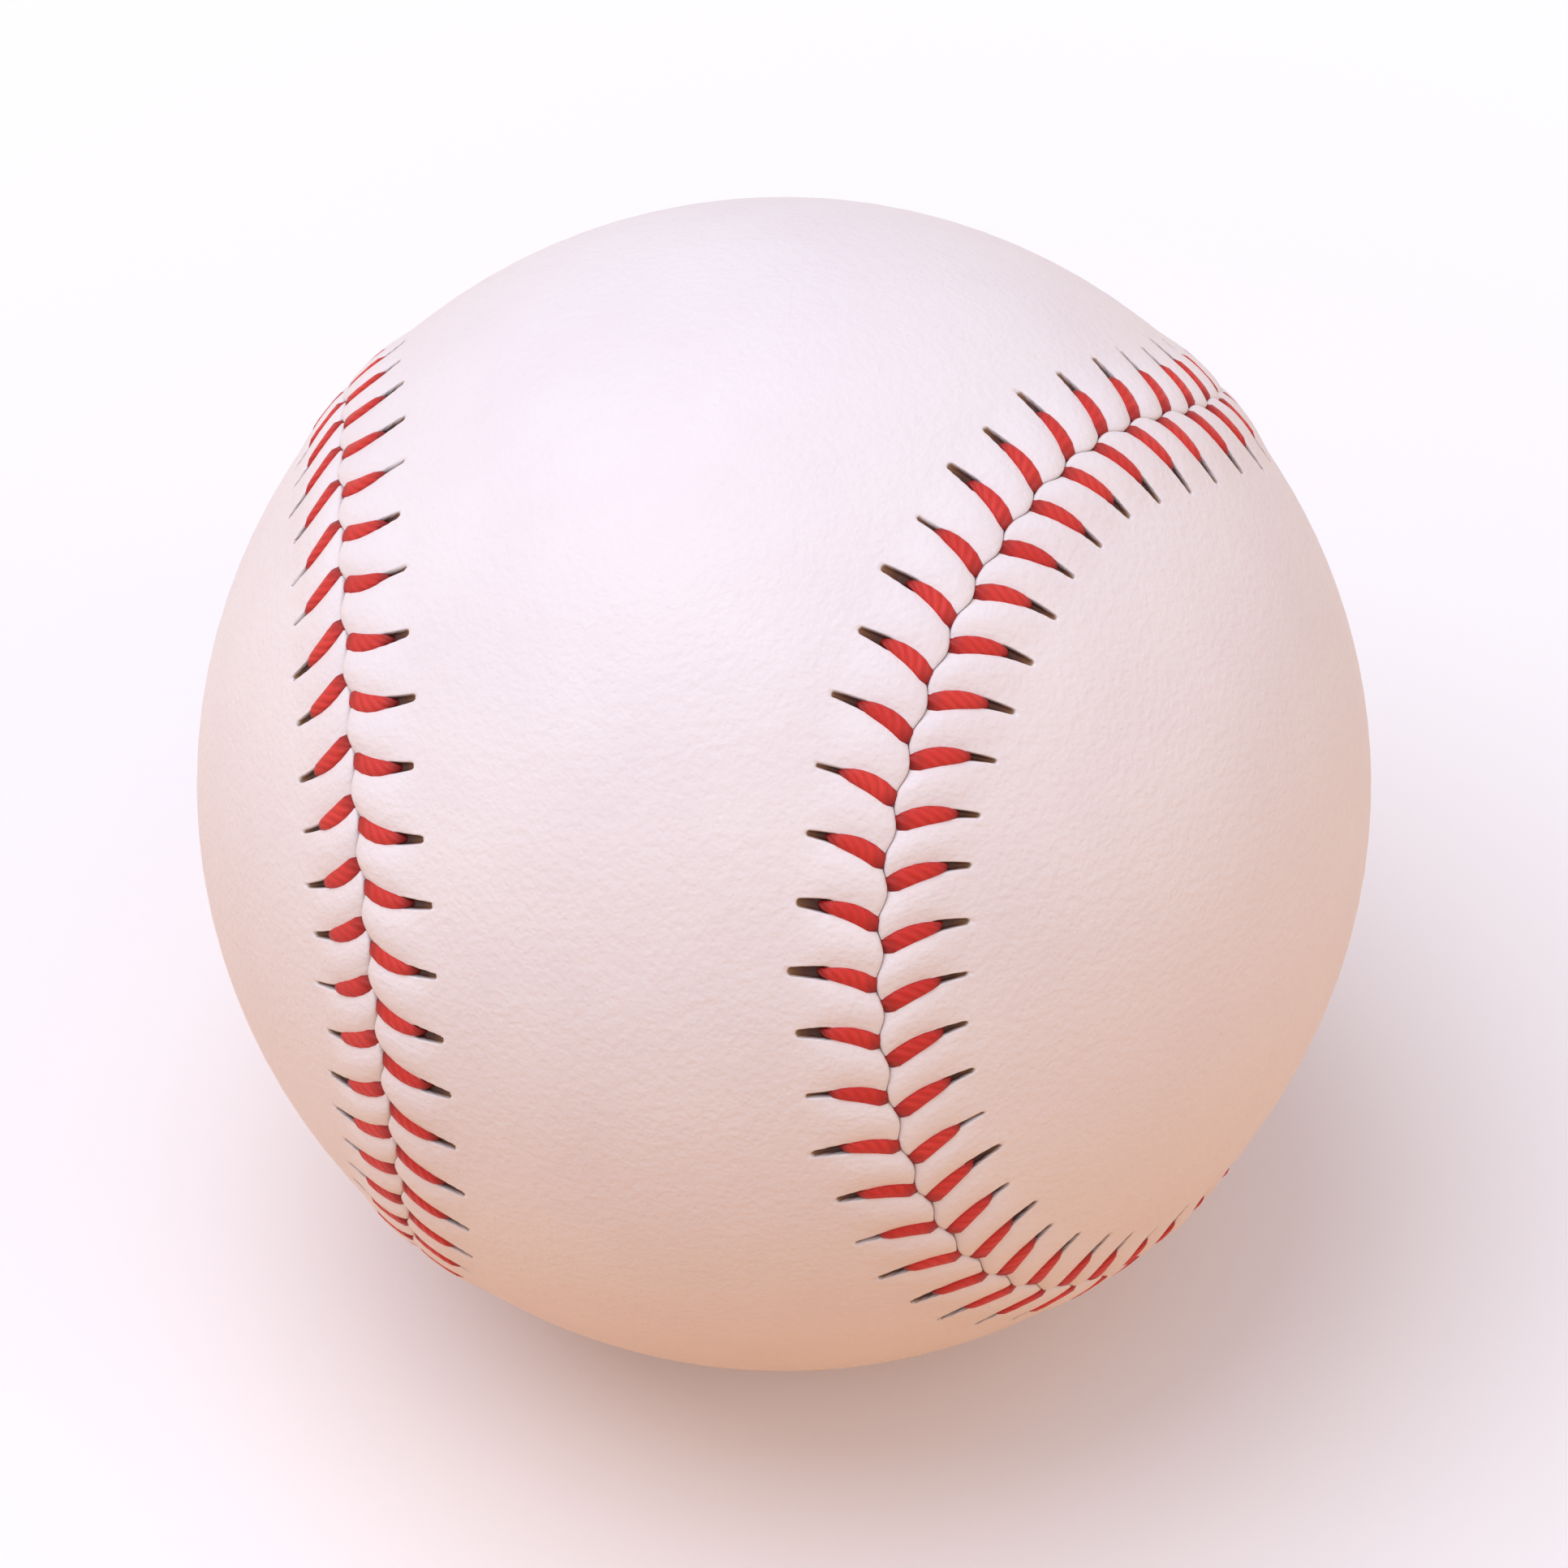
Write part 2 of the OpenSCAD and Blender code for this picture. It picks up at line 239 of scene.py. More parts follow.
# Lengths of the mesh are in millimetres, and inward is away from the seam over the panel. The UV
# map runs in centimetres: across from the nearest thread, and inward.
plain_radius = 36.75
cement_radius = 35.45
lobe_tilt = math.radians(17)
ball_turns = np.radians([-108, -10, -14])
quarter_stitches = 27
stitches = 4 * quarter_stitches
needle_hole = 4.1
# The two panels' stitches lean and bow a little differently
stitch_lean = (1.6, 1.2)
bow = (2.8, 1.5)
panel_stagger = 1.25
edge_pull, pull_reach = 0.12, 2.2
uv_mm = 0.1
lobe_radius = math.acos(math.cos(lobe_tilt) * math.cos(math.pi / 4))
arc_turn = 2 * math.pi - math.acos(-1 / math.tan(lobe_radius) ** 2)
stitch_turn = arc_turn / quarter_stitches
seam_pitch = plain_radius * math.sin(lobe_radius) * stitch_turn
stagger = panel_stagger / seam_pitch
first_stitch = 1 - stagger

# Handwork: each stitch is pulled a little unevenly, and each pillow puffs up a little unevenly
handwork = np.random.default_rng(41)
pull_lean = handwork.uniform(-0.1, 0.1, (2, stitches))
pull_along = handwork.uniform(-0.02, 0.02, (2, stitches))
puff = handwork.uniform(0.85, 1.15, (2, stitches))
slit_tip = needle_hole + handwork.uniform(0.7, 1.4, (2, stitches))
nearly_shut = handwork.random((2, stitches)) < 0.15
slit_open = np.where(nearly_shut, 0.55, handwork.uniform(0.75, 1.1, (2, stitches)))

# Columns of the mesh across one stitch, in shares of the pitch, and rows inward from the seam,
# each with its drop below the surface where the edge rolls over
half_columns = np.array([0.03, 0.055, 0.072, 0.088, 0.105, 0.13, 0.165, 0.21, 0.27, 0.34, 0.42, 0.5])
columns = np.concatenate([-half_columns[::-1], [0.0], half_columns])
per_stitch = len(columns) - 1
edge_roll = [(0.06, 1.15), (0.006, 0.7), (0.006, 0.3), (0.02, 0.17), (0.07, 0.085), (0.17, 0.035),
             (0.34, 0.01)]
strip_rows = np.array([e[0] for e in edge_roll] + [
    0.6, 0.9, 1.25, 1.65, 2.1, 2.55, 2.95, 3.2, 3.4, 3.6, 3.8, 4.0, 4.2,
    4.38, 4.54, 4.68, 4.82, 4.96, 5.1, 5.25, 5.45, 5.75, 6.05, 6.4])
strip_drop = np.array([e[1] for e in edge_roll] + [0.0] * (len(strip_rows) - len(edge_roll)))
strip_end = strip_rows[-1]
even_from = 5.2
field_steps = 11
inner_rows = [0.1, 1.4, 2.8, 4.4, strip_end]

# Heights of the leather, and how far inward each reaches
sewn_full, sewn_end = 1.9, 5.6
ridge_height, ridge_full, ridge_end = 0.06, 0.5, 6.2
press_depth = 0.15
pillow_height, pillow_at_edge, pillow_full = 0.45, 0.72, 1.2
dip_depth, dip_half_share, dip_reach, dip_lowest_drop = 0.12, 0.1, 0.5, 0.4
# The seam's painted shade is full where the rolled edge has dropped this far
seam_shade_full_drop = 0.5

# A slit starts beside the thread's end, tapers and ends in a small round tip
thread_end = 2.9
slit_start, slit_end = 3.3, 5.0
slit_half, slit_tip_half, slit_lip = 0.34, 0.2, 0.05
slit_line_end = slit_end - slit_tip_half
slit_depth = 0.35


def eased(low, high, value):
    """0 below low and 1 above high, with a smooth change between them."""
    share = np.clip((value - low) / (high - low), 0, 1)
    return share * share * (3 - 2 * share)


def stitch_lag(inward, side):
    """How far a thread lies behind its dive into the seam, in mm: it bows, most of it near the seam."""
    at_hole = 1 - math.exp(-needle_hole / bow[side])
    return stitch_lean[side] * (1 - np.exp(-inward / bow[side])) / at_hole


def seam_pull(station):
    """How far the seam wavers towards the first panel, in mm: each thread pulls its own edge back."""
    return edge_pull * (np.cos(2 * math.pi * station) - np.cos(2 * math.pi * (station + stagger)))


def pulled_inward(inward, pull):
    """Millimetres inward with the seam's pull added, which fades away from the seam."""
    return inward + pull * (1 - eased(0, pull_reach, inward))


def on_panel(station, inward, height):
    """Points of the first panel, in mm in the seam's own frame, from stitches along the seam,
    mm inward from it and mm above the plain leather."""
    lap = np.mod(-station, stitches)
    quarter = np.minimum(lap // quarter_stitches, 3)
    own = quarter % 2 == 0
    sense = np.where(own, -1.0, 1.0)
    round_lobe = (np.where(own, arc_turn / 2, math.pi - arc_turn / 2)
                  + sense * (lap - quarter * quarter_stitches) * stitch_turn)
    from_axis = lobe_radius + sense * inward / plain_radius
    tilt = math.pi / 2 - sense * lobe_tilt
    turn = -quarter * math.pi / 2
    x, y = np.sin(from_axis) * np.cos(round_lobe), np.sin(from_axis) * np.sin(round_lobe)
    z = np.cos(from_axis)
    x, z = x * np.cos(tilt) + z * np.sin(tilt), z * np.cos(tilt) - x * np.sin(tilt)
    x, y = x * np.cos(turn) - y * np.sin(turn), x * np.sin(turn) + y * np.cos(turn)
    return np.stack([x, y, z], -1) * (plain_radius + height)[..., None]


def reach_inward(station):
    """How far a line square to the seam runs before it meets the panel's middle line, in mm."""
    small_step = 0.01
    level = np.zeros_like(station)
    near = on_panel(station, level, level) / plain_radius
    step = on_panel(station, level + small_step, level) / plain_radius
    ahead = step - near * (near * step).sum(-1, keepdims=True)
    ahead /= np.linalg.norm(ahead, axis=-1, keepdims=True)
    own = np.minimum(np.mod(-station, stitches) // quarter_stitches, 3) % 2 == 0
    to_middle = np.arctan2(np.abs(near[:, 1]), np.abs(ahead[:, 1]))
    return np.where(own, lobe_radius, to_middle) * plain_radius


def slit_run(inward, tip):
    """Millimetres inward, stretched past the thread so that every slit ends at slit_end."""
    stretch = (slit_end - thread_end) / (tip - thread_end)
    return np.where(inward < thread_end, inward, thread_end + (inward - thread_end) * stretch)


def slit_shape(share, inward, tip, opened):
    """How deep the leather is sunk inside the slits, from 0 beside them to 1 inside."""
    along = slit_run(inward, tip)
    from_slit = np.hypot(share * seam_pitch, np.maximum(0, along - slit_line_end))
    narrowed = np.clip((along - slit_start) / (slit_line_end - slit_start), 0, 1)
    half = opened * (slit_half + (slit_tip_half - slit_half) * narrowed)
    inside = 1 - eased(half - slit_lip, half + slit_lip, from_slit)
    return inside * eased(thread_end, slit_start, inward)


def leather_height(share, inward, puffed):
    """Height of the leather above its plain sphere: share is the place between two stitches,
    0 on a thread and 0.5 midway to the next."""
    sewn = 1 - eased(sewn_full, sewn_end, inward)
    ridge = ridge_height * (1 - eased(ridge_full, ridge_end, inward))
    swelling = pillow_at_edge + (1 - pillow_at_edge) * eased(0, pillow_full, inward)
    crown = 1 - (1 - 2 * np.abs(share)) ** 2
    return ridge - press_depth * sewn + pillow_height * puffed * sewn * swelling * crown


def to_ball(points, second):
    """Takes points from the first panel's frame to the ball as it lies, in metres. The second panel is
    the first turned a quarter turn and mirrored through the waist."""
    if second:
        points = np.stack([-points[:, 1], points[:, 0], -points[:, 2]], -1)
    ax, ay, az = ball_turns
    about_x = np.array([[1, 0, 0], [0, math.cos(ax), -math.sin(ax)], [0, math.sin(ax), math.cos(ax)]])
    about_y = np.array([[math.cos(ay), 0, math.sin(ay)], [0, 1, 0], [-math.sin(ay), 0, math.cos(ay)]])
    about_z = np.array([[math.cos(az), -math.sin(az), 0], [math.sin(az), math.cos(az), 0], [0, 0, 1]])
    return points @ (about_z @ about_y @ about_x).T / 1000


def mesh_piece(name, points, faces, corner_values, point_values):
    """A closed mesh object with its seams merged, its faces turned outwards, a UV map from corner
    values and float attributes from point values."""
    merge_distance = 2e-6
    mesh = bpy.data.meshes.new(name)
    mesh.from_pydata(points, [], faces)
    layer = mesh.uv_layers.new(name="stitch_uv")
    layer.data.foreach_set("uv", np.asarray(corner_values, np.float32).ravel())
    for label, values in point_values.items():
        attribute = mesh.attributes.new(label, "FLOAT", "POINT")
        attribute.data.foreach_set("value", np.asarray(values, np.float32))
    work = bmesh.new()
    work.from_mesh(mesh)
    bmesh.ops.remove_doubles(work, verts=work.verts, dist=merge_distance)
    bmesh.ops.recalc_face_normals(work, faces=work.faces)
    for face in work.faces:
        face.smooth = True
    work.to_mesh(mesh)
    work.free()
    made = bpy.data.objects.new(name, mesh)
    bpy.context.scene.collection.objects.link(made)
    return made


def numbered(start, across):
    """A function that numbers the points of a grid which closes round the ball."""
    def at(row, place):
        return start + row * across + place % across
    return at


def quad(at, row, place):
    """The four corners of one face of a grid."""
    return at(row, place), at(row, place + 1), at(row + 1, place + 1), at(row + 1, place)


def leather_panel(name, second):
    """One panel: a fine strip along the seam, a coarser field to the panel's middle line, and the
    inner face on the cement below both."""
    side, moved = (1, 0.0) if second else (0, stagger)
    start = first_stitch + moved
    column = np.arange(stitches * per_stitch)
    stitch, place_in = column // per_stitch, column % per_stitch
    share = columns[place_in]
    loose = 1 - (2 * share) ** 2
    # Past the slits the sheared columns ease into even ones, which lie on whole quarter stitches
    even_start = round((start - stitch_lag(slit_end, side) / seam_pitch) * per_stitch)
    even_place = even_start + place_in - per_stitch // 2
    even = stitch + even_place / per_stitch

    def station_at(inward):
        blend = eased(even_from, strip_end, inward)
        lag = stitch_lag(inward, side) * (1 + pull_lean[side, stitch] * loose) / seam_pitch
        sheared = stitch + start - lag + pull_along[side, stitch] * loose + share
        return (1 - blend) * sheared + blend * even

    # The strip along the seam
    strip_count, width = len(strip_rows), len(column)
    inward = np.repeat(strip_rows[:, None], width, 1)
    station = np.stack([station_at(place) for place in strip_rows])
    next_stitch = (stitch + 1) % stitches
    puffed = np.where(share < 0, puff[side, stitch], puff[side, next_stitch])
    height = leather_height(share[None, :], inward, puffed[None, :]) - strip_drop[:, None]
    # Its edge dips where a thread bends over it into the seam
    under_thread = np.exp(-(share / dip_half_share) ** 2)[None, :] * np.exp(-inward / dip_reach)
    height -= dip_depth * under_thread * (strip_drop[:, None] < dip_lowest_drop)
    tip, opened = slit_tip[side, stitch][None, :], slit_open[side, stitch][None, :]
    height -= slit_depth * slit_shape(share[None, :], inward, tip, opened)
    pull = seam_pull(station) * (-1 if second else 1)
    outer = on_panel(station, pulled_inward(inward, pull), height)

    # The field, with one column for every quarter stitch, and the inner face
    span = per_stitch // 4
    coarse = column[even_place % span == 0]
    count = len(coarse)
    coarse_station = even[coarse]
    steps = np.linspace(0, 1, field_steps + 1)[1:]
    field_in = strip_end + steps[:, None] * (reach_inward(coarse_station) - strip_end)[None, :]
    field_station = np.repeat(coarse_station[None], field_steps, 0)
    field = on_panel(field_station, field_in, np.zeros_like(field_in))
    below = on_panel(field_station, field_in, np.full_like(field_in, cement_radius - plain_radius))
    inner_station = np.stack([station_at(place)[coarse] for place in inner_rows])
    inner_in = np.repeat(np.array(inner_rows)[:, None], count, 1)
    inner = on_panel(inner_station, inner_in, np.full_like(inner_in, cement_radius - plain_radius))

    points = np.concatenate([grid.reshape(-1, 3) for grid in (outer, field, inner, below)])
    field_start = strip_count * width
    inner_start = field_start + field_steps * count
    outer_at = numbered(0, width)
    field_at = numbered(field_start, count)
    inner_at = numbered(inner_start, count)
    below_at = numbered(inner_start + len(inner_rows) * count, count)

    faces, corners = [], []
    edge_share = columns[place_in + 1]
    run = slit_run(strip_rows[:, None], slit_tip[side][None, :])
    for row in range(strip_count - 1):
        for place in range(width):
            faces.append(quad(outer_at, row, place))
            left, right = share[place] * seam_pitch * uv_mm, edge_share[place] * seam_pitch * uv_mm
            near, far = run[row, stitch[place]] * uv_mm, run[row + 1, stitch[place]] * uv_mm
            corners += [(left, near), (right, near), (right, far), (left, far)]
    midway = seam_pitch / 2 * uv_mm
    hidden_uv = (midway, 1.0)
    last_inner = len(inner_rows) - 1
    for place in range(count):
        fine = range(coarse[place], coarse[place] + span + 1)
        for strip_row, next_at, inward_uv in ((strip_count - 1, field_at, strip_end * uv_mm),
                                              (0, inner_at, 0.0)):
            faces.append([outer_at(strip_row, point) for point in fine]
                         + [next_at(0, place + 1), next_at(0, place)])
            corners += [(midway, inward_uv)] * (span + 3)
        for row in range(field_steps - 1):
            faces += [quad(field_at, row, place), quad(below_at, row, place)]
        for row in range(last_inner):
            faces.append(quad(inner_at, row, place))
        faces.append((inner_at(last_inner, place), inner_at(last_inner, place + 1),
                      below_at(0, place + 1), below_at(0, place)))
        corners += [hidden_uv] * (4 * (2 * (field_steps - 1) + len(inner_rows)))
    # Painted shade in the seam: darker as the edge rolls down, full on the hidden inner face
    painted_seam_shade = np.zeros(len(points))
    painted_seam_shade[:field_start] = np.clip(strip_drop / seam_shade_full_drop, 0, 1).repeat(width)
    painted_seam_shade[inner_start:] = 1.0
    opening = np.zeros(len(points))
    opening[:field_start] = np.tile(slit_open[side, stitch], strip_count)
    point_values = {"painted_seam_shade": painted_seam_shade, "opening": opening}
    return mesh_piece(name, to_ball(points, second), faces, corners, point_values)


panel_a = leather_panel("leather_panel_a", False)
panel_b = leather_panel("leather_panel_b", True)

# Alum-tanned cowhide, smooth and chalky white: a soft sheen, a close pebble grain, faint creases
# that run away from the stitches, painted shade in the seam and dark brown painted shade inside the slits.
leather, tree, shader = finish_named("alum-tanned white cowhide", 0.5, 1.45, Sheen_Weight=0.08)
place = add(tree, "ShaderNodeTexCoord").outputs["Object"]
stitch_uv = add(tree, "ShaderNodeUVMap", uv_map="stitch_uv").outputs["UV"]
beside = add(tree, "ShaderNodeSeparateXYZ", links={"Vector": stitch_uv})
inward_uv = beside.outputs["Y"]
# Faint clouds a centimetre or so across, as tanning leaves them
clouds_in_metre = 75.0
clouds = add(tree, "ShaderNodeTexNoise", {"Scale": clouds_in_metre, "Detail": 4.0, "Roughness": 0.6},
             {"Vector": place})
hide = add(tree, "ShaderNodeValToRGB", links={"Fac": clouds.outputs["Fac"]})
colour_steps(hide, [(0.3, "#F1E9EA"), (0.7, "#F6F0F0")])
# Painted shade in the seam, greyer where the edge rolls deeper
seam_shade_mask = add(tree, "ShaderNodeAttribute", attribute_name="painted_seam_shade", attribute_type="GEOMETRY")
seam_shaded = add(tree, "ShaderNodeMix", {7: linear("#C9BDB8")},
             {0: seam_shade_mask.outputs["Fac"], 6: hide.outputs["Color"]}, data_type="RGBA")
# Painted shade fills a slit: within its half width, which narrows inward, of a line that stops
# short of the slit's round tip. The painted shade starts over the slit's edge, in millimetres outside
# it, and is full past the thread's end and inside the edge.
slit_shade_start, slit_shade_full = 0.03, -0.06
thread_past = thread_end + 0.2
past_line = add(tree, "ShaderNodeMath", {1: slit_line_end * uv_mm}, {0: inward_uv}, operation="SUBTRACT")
round_tip = add(tree, "ShaderNodeMath", {1: 0.0}, {0: past_line.outputs["Value"]}, operation="MAXIMUM")
off_line = add(tree, "ShaderNodeMath", links={0: beside.outputs["X"]}, operation="ABSOLUTE")
off_slit = add(tree, "ShaderNodeCombineXYZ",
               links={"X": off_line.outputs["Value"], "Y": round_tip.outputs["Value"]})
distance = add(tree, "ShaderNodeVectorMath", links={0: off_slit.outputs["Vector"]}, operation="LENGTH")
opened = add(tree, "ShaderNodeAttribute", attribute_name="opening", attribute_type="GEOMETRY")
narrowed = add(tree, "ShaderNodeMapRange",
               {"From Min": slit_start * uv_mm, "From Max": slit_line_end * uv_mm,
                "To Min": -(slit_half + slit_lip) * uv_mm, "To Max": -(slit_tip_half + slit_lip) * uv_mm},
               {"Value": inward_uv})
outside = add(tree, "ShaderNodeMath",
              links={0: opened.outputs["Fac"], 1: narrowed.outputs["Result"], 2: distance.outputs["Value"]},
              operation="MULTIPLY_ADD")
slit_shade_edge = add(tree, "ShaderNodeMapRange", {"From Min": slit_shade_start * uv_mm, "From Max": slit_shade_full * uv_mm},
           {"Value": outside.outputs["Value"]})
past_thread = add(tree, "ShaderNodeMapRange",
                  {"From Min": thread_end * uv_mm, "From Max": thread_past * uv_mm}, {"Value": inward_uv})
slit_shade_mask = add(tree, "ShaderNodeMath", links={0: slit_shade_edge.outputs["Result"], 1: past_thread.outputs["Result"]},
                operation="MULTIPLY")
# The painted shade in a slit is dark brown by the thread and paler towards the tip
shade_darkest_until = 3.4
slit_shade_way = add(tree, "ShaderNodeMapRange", {"From Min": shade_darkest_until * uv_mm, "From Max": slit_end * uv_mm},
               {"Value": inward_uv})
inside = add(tree, "ShaderNodeValToRGB", links={"Fac": slit_shade_way.outputs["Result"]})
colour_steps(inside, [(0.0, "#340F05"), (0.5, "#4F2510"), (0.8, "#73492A"), (1.0, "#967452")])
# The slit's painted shade covers the leather's colour
slit_shade_painted = add(tree, "ShaderNodeMix", links={0: slit_shade_mask.outputs["Value"], 6: seam_shaded.outputs[2],
                                                  7: inside.outputs["Color"]}, data_type="RGBA")
tree.links.new(slit_shade_painted.outputs[2], shader.inputs["Base Color"])
# Grain cells of about half a millimetre, with pores half as wide
grain_cell, pores_in_metre = 0.00055, 3800.0
pebbles = add(tree, "ShaderNodeTexVoronoi", {"Scale": 1 / grain_cell, "Detail": 1.0}, {"Vector": place},
              feature="SMOOTH_F1")
pores = add(tree, "ShaderNodeTexNoise", {"Scale": pores_in_metre, "Detail": 3.0}, {"Vector": place})
grain = add(tree, "ShaderNodeMath", {1: 0.6}, {0: pores.outputs["Fac"], 2: pebbles.outputs["Distance"]},
            operation="MULTIPLY_ADD")
# Creases run from the stitches and fade out about six millimetres inward
crease_full, crease_end = 3.0, 5.8
on_ball = add(tree, "ShaderNodeSeparateXYZ", links={"Vector": place})
crease_place = add(tree, "ShaderNodeCombineXYZ",
                   links={"X": off_line.outputs["Value"], "Y": inward_uv, "Z": on_ball.outputs["Z"]})
crease_way = add(tree, "ShaderNodeMapping", {"Scale": (26.0, 6.0, 90.0)},
                 {"Vector": crease_place.outputs["Vector"]})
creases = add(tree, "ShaderNodeTexNoise", {"Scale": 1.0, "Detail": 2.0},
              {"Vector": crease_way.outputs["Vector"]})
near_seam = add(tree, "ShaderNodeMapRange", {"From Min": crease_end * uv_mm, "From Max": crease_full * uv_mm},
                {"Value": inward_uv})
creased = add(tree, "ShaderNodeMath", links={0: creases.outputs["Fac"], 1: near_seam.outputs["Result"]},
              operation="MULTIPLY")
folds = add(tree, "ShaderNodeBump", {"Strength": 0.3, "Distance": 0.00012},
            {"Height": creased.outputs["Value"]})
relief = add(tree, "ShaderNodeBump", {"Strength": 0.6, "Distance": 0.00008},
             {"Height": grain.outputs["Value"], "Normal": folds.outputs["Normal"]})
tree.links.new(relief.outputs["Normal"], shader.inputs["Normal"])

for panel, cover in ((panel_a, "cover_panel_a"), (panel_b, "cover_panel_b")):
    panel.data.materials.append(leather)
    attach(panel, "root")
    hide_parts(cover)

# Thread. One waxed red cotton thread with a needle at each end laces the panels in a herringbone.
# Each visible leg climbs out of its hole, crosses the sewn edge in a bow and dives between the
# edges. The two needles' runs swap sides at every stitch.

thread_width, thread_thickness = 1.1, 0.44
# Course of a leg: mm inward from the seam, height of the thread's middle above the leather under
# it, and shares of the thread's width and thickness there
leg_course = [(3.75, -0.75, 0.4, 0.9), (3.58, -0.36, 0.5, 0.95), (3.35, -0.05, 0.6, 1.0),
              (3.0, 0.1, 0.74, 1.0), (2.45, 0.16, 0.93, 1.0), (1.75, 0.17, 1.1, 1.0),
              (1.0, 0.17, 1.15, 1.0), (0.4, 0.14, 1.06, 1.0), (0.08, -0.04, 0.98, 0.9),
              (0.0, -0.75, 0.9, 0.8)]
leg_sides = 8
# Millimetres inward where a leg's painted shade starts towards its dive and towards its hole
dive_shade = 0.75
hole_shade, hole_shade_full = 2.8, 3.7


def thread_leg(name, hand, side):
    """One leg, its dive at the origin and its hole along +Y, with the outside of the ball up."""
    middles = []
    pulled = abs(seam_pull(0.0))
    for inward, lift, _, _ in leg_course:
        out = plain_radius + float(leather_height(0.0, inward, 1.0)) + lift
        angle = pulled_inward(inward, pulled) / plain_radius
        middles.append((hand * stitch_lag(inward, side), out * math.sin(angle),
                        out * math.cos(angle) - plain_radius))
    middles = np.array(middles)
    runs = np.gradient(middles, axis=0)
    runs /= np.linalg.norm(runs, axis=1, keepdims=True)
    # Where the thread goes straight down its flat side lies along the seam
    upright = 0.35
    rings = []
    for middle, run, (inward, _, wide, thick) in zip(middles, runs, leg_course):
        up = np.array([0, math.sin(inward / plain_radius), math.cos(inward / plain_radius)])
        flat = np.cross(run, up)
        if np.linalg.norm(flat) < upright:
            flat = np.array([1.0, 0, 0])
        flat -= (flat @ run) * run
        flat /= np.linalg.norm(flat)
        top = np.cross(flat, run)
        for corner in range(leg_sides):
            turn = 2 * math.pi * corner / leg_sides
            rings.append(middle + flat * math.cos(turn) * wide * thread_width / 2
                         + top * math.sin(turn) * thick * thread_thickness / 2)
    steps = np.linalg.norm(np.diff(middles, axis=0), axis=1)
    run_length = np.concatenate([[0], np.cumsum(steps)]) * uv_mm
    leg_at = numbered(0, leg_sides)
    last = len(leg_course) - 1
    faces, corners = [], []
    for ring in range(last):
        for place in range(leg_sides):
            faces.append(quad(leg_at, ring, place))
            left, right = place / leg_sides, (place + 1) / leg_sides
            near, far = run_length[ring], run_length[ring + 1]
            corners += [(left, near), (right, near), (right, far), (left, far)]
    for end in (0, last):
        faces.append([leg_at(end, place) for place in range(leg_sides)])
        corners += [(0.0, 0.0)] * leg_sides
    ring_in = np.repeat([stop[0] for stop in leg_course], leg_sides)
    # Painted shade towards the dive and towards the hole
    tucked_shade = 1 - eased(0, dive_shade, ring_in) + eased(hole_shade, hole_shade_full, ring_in)
    return mesh_piece(name, np.array(rings) / 1000, faces, corners, {"tucked_shade": tucked_shade})


def dive_points(name, run):
    """Points where one needle's run dives into the seam, with the ways outward from the ball and
    inward over the panel, the leg's swing, its tint and which panel it lies on."""
    beside_stitch, into_panel = 0.1, 0.5
    places, outward, inward_way, swing, tint, on_second = [], [], [], [], [], []
    for side in (0, 1):
        picked = np.array([s for s in range(stitches) if (s + side + run) % 2 == 0])
        station = picked + first_stitch + (0.0 if side else stagger) + pull_along[side, picked]
        level = np.zeros(len(picked))
        dive = to_ball(on_panel(station, level, level), bool(side)) * 1000
        inner = to_ball(on_panel(station, level + into_panel, level), bool(side)) * 1000
        # Holes lie closer together than dives inside a bend and further apart outside it
        ahead_of = on_panel(station + beside_stitch, level + needle_hole, level)
        behind = on_panel(station - beside_stitch, level + needle_hole, level)
        pitch_there = np.linalg.norm(ahead_of - behind, axis=1) / (2 * beside_stitch)
        lag = stitch_lean[side] * pitch_there / seam_pitch * (1 + pull_lean[side, picked])
        places.append(dive / 1000)
        outward.append(dive / np.linalg.norm(dive, axis=1, keepdims=True))
        inward_way.append(inner - dive)
        swing.append((lag - stitch_lean[side]) / needle_hole)
        tint.append(handwork.uniform(0, 1, len(picked)))
        on_second.append(level + side)
    mesh = bpy.data.meshes.new(name)
    mesh.from_pydata(np.concatenate(places), [], [])
    for label, kind, values in (("outward", "FLOAT_VECTOR", outward), ("inward", "FLOAT_VECTOR", inward_way),
                                ("swing", "FLOAT", swing), ("tint", "FLOAT", tint),
                                ("on_second", "FLOAT", on_second)):
        field = mesh.attributes.new(label, kind, "POINT")
        field.data.foreach_set("vector" if kind == "FLOAT_VECTOR" else "value",
                               np.concatenate(values).astype(np.float32).ravel())
    made = bpy.data.objects.new(name, mesh)
    bpy.context.scene.collection.objects.link(made)
    return made


# Waxed cotton, four plies twisted once in about three millimetres and pressed flat: a clear red
# with a dull wax sheen, painted shade between the plies, and slightly uneven dye from leg to leg
thread_finish, tree, shader = finish_named("waxed red cotton thread", 0.5, 1.42)
thread_uv = add(tree, "ShaderNodeUVMap", uv_map="stitch_uv").outputs["UV"]
ply_count, plies_in_centimetre = 4.0, 14.0
plies = add(tree, "ShaderNodeMapping", {"Scale": (ply_count, plies_in_centimetre, 1.0)},
            {"Vector": thread_uv})
# A diagonal wave repeats at twice the length of a straight one
twist = add(tree, "ShaderNodeTexWave", {"Scale": 2 * wave_repeat, "Distortion": 0.35, "Detail": 1.0},
            {"Vector": plies.outputs["Vector"]}, bands_direction="DIAGONAL")
